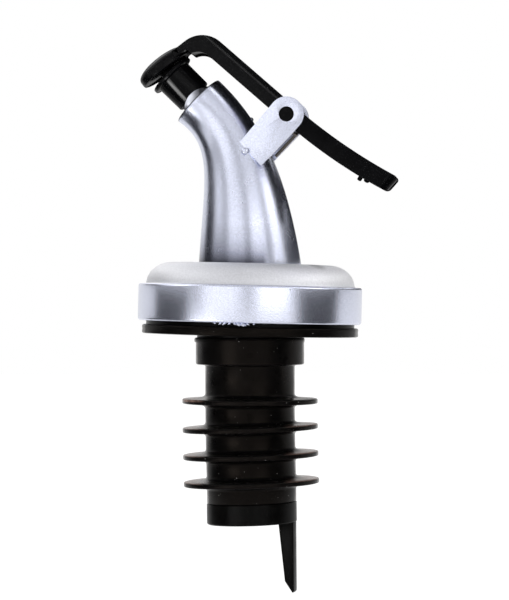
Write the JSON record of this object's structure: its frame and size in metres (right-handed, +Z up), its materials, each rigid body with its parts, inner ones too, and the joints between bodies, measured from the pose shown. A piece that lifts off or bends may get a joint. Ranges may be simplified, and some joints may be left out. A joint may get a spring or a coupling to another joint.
{
  "type": "liquor pourer",
  "caption": "Lever pourer for a bottle: bent tapered spout on a domed cap, finned rubber stopper with an air tongue, and a sprung lever whose plug closes the mouth.",
  "frame": {"origin": "on the stopper's axis, in the plane where the rim gasket sits on the bottle's rim", "axes": "+Z up along the stopper's axis to the spout, +X towards the lever's tail, the mouth points to -X, +Y to the far side of the lever"},
  "size_m": [0.0442, 0.038, 0.0945],
  "materials": {
    "silver_paint": "satin metallic silver paint on moulded plastic",
    "bright_insert": "bright silver",
    "cap_silver": "satin metallic silver paint on moulded plastic",
    "seal_rubber": "matte",
    "core_black": "satin black",
    "stopper_rubber": "satin black rubber",
    "air_plastic": "dull",
    "lever_black": "glossy black",
    "plug_rubber": "glossy black rubber",
    "pin_black": "blackened steel",
    "spring_steel": "bright wire"
  },
  "bodies": {
    "pourer": {"spout_shell": "silver_paint", "mouth_sleeve": "bright_insert", "base_cap": "cap_silver", "foot_seal": "seal_rubber", "core_tube": "core_black", "rim_gasket": "stopper_rubber", "stopper_sleeve": "stopper_rubber", "vent_end_ring": "core_black", "air_tube": "air_plastic", "pivot_pin": "pin_black", "return_spring": "spring_steel"},
    "lever_arm": {"lever": "lever_black", "plug": "plug_rubber"}
  },
  "joints": [
    {"name": "lever_hinge", "type": "hinge", "parent": "pourer", "child": "lever_arm", "pos_m": [0.00665, 0, 0.03715], "axis": [0, 1, 0], "range_deg": [0, 35], "stiffness_Nm_per_rad": 0.03, "springref_deg": -34.38, "deforming": ["return_spring"]}
  ]
}
